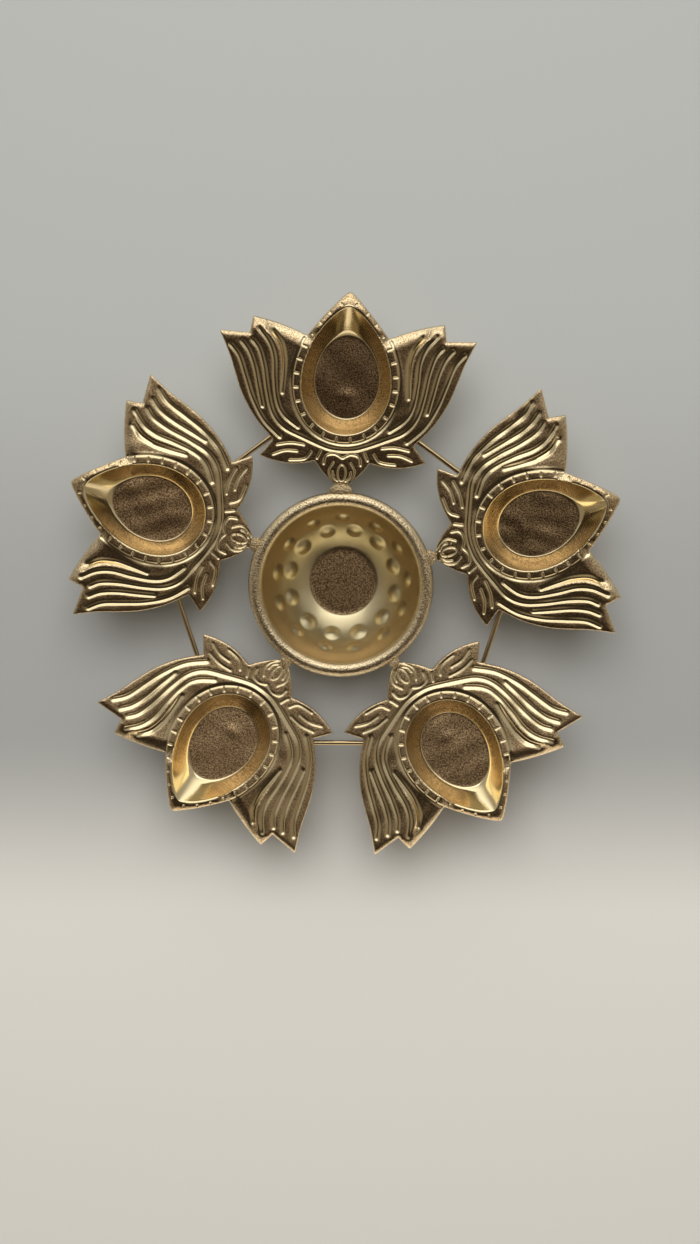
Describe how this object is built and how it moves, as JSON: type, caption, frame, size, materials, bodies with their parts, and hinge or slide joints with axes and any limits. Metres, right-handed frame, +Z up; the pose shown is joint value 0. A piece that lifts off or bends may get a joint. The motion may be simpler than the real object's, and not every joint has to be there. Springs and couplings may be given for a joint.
{
  "type": "urli with diyas",
  "caption": "Hammered round bowl ringed by pressed lotus plates that each carry a teardrop oil-lamp cup, joined by thin rods and welds",
  "frame": {"origin": "middle of the bowl's flat underside", "axes": "+Z up out of the bowl's mouth, +Y through the middle of lotus plate 1, +X to its right seen from above"},
  "size_m": [0.2866, 0.2911, 0.0458],
  "materials": {
    "bowl_metal": "gold paint over hammered sheet, satin",
    "plate_metal": "gold paint over pressed sheet, satin",
    "rod_metal": "gold paint over drawn wire",
    "weld_metal": "gold paint over grainy weld"
  },
  "bodies": {
    "root": {"bowl": "bowl_metal", "lotus_plate_1": "plate_metal", "lotus_plate_2": "plate_metal", "lotus_plate_3": "plate_metal", "lotus_plate_4": "plate_metal", "lotus_plate_5": "plate_metal", "tie_rod_1": "rod_metal", "tie_rod_2": "rod_metal", "tie_rod_3": "rod_metal", "tie_rod_4": "rod_metal", "tie_rod_5": "rod_metal", "rim_weld_1": "weld_metal", "rod_weld_1_a": "weld_metal", "rod_weld_1_b": "weld_metal", "rim_weld_2": "weld_metal", "rod_weld_2_a": "weld_metal", "rod_weld_2_b": "weld_metal", "rim_weld_3": "weld_metal", "rod_weld_3_a": "weld_metal", "rod_weld_3_b": "weld_metal", "rim_weld_4": "weld_metal", "rod_weld_4_a": "weld_metal", "rod_weld_4_b": "weld_metal", "rim_weld_5": "weld_metal", "rod_weld_5_a": "weld_metal", "rod_weld_5_b": "weld_metal"}
  },
  "joints": []
}
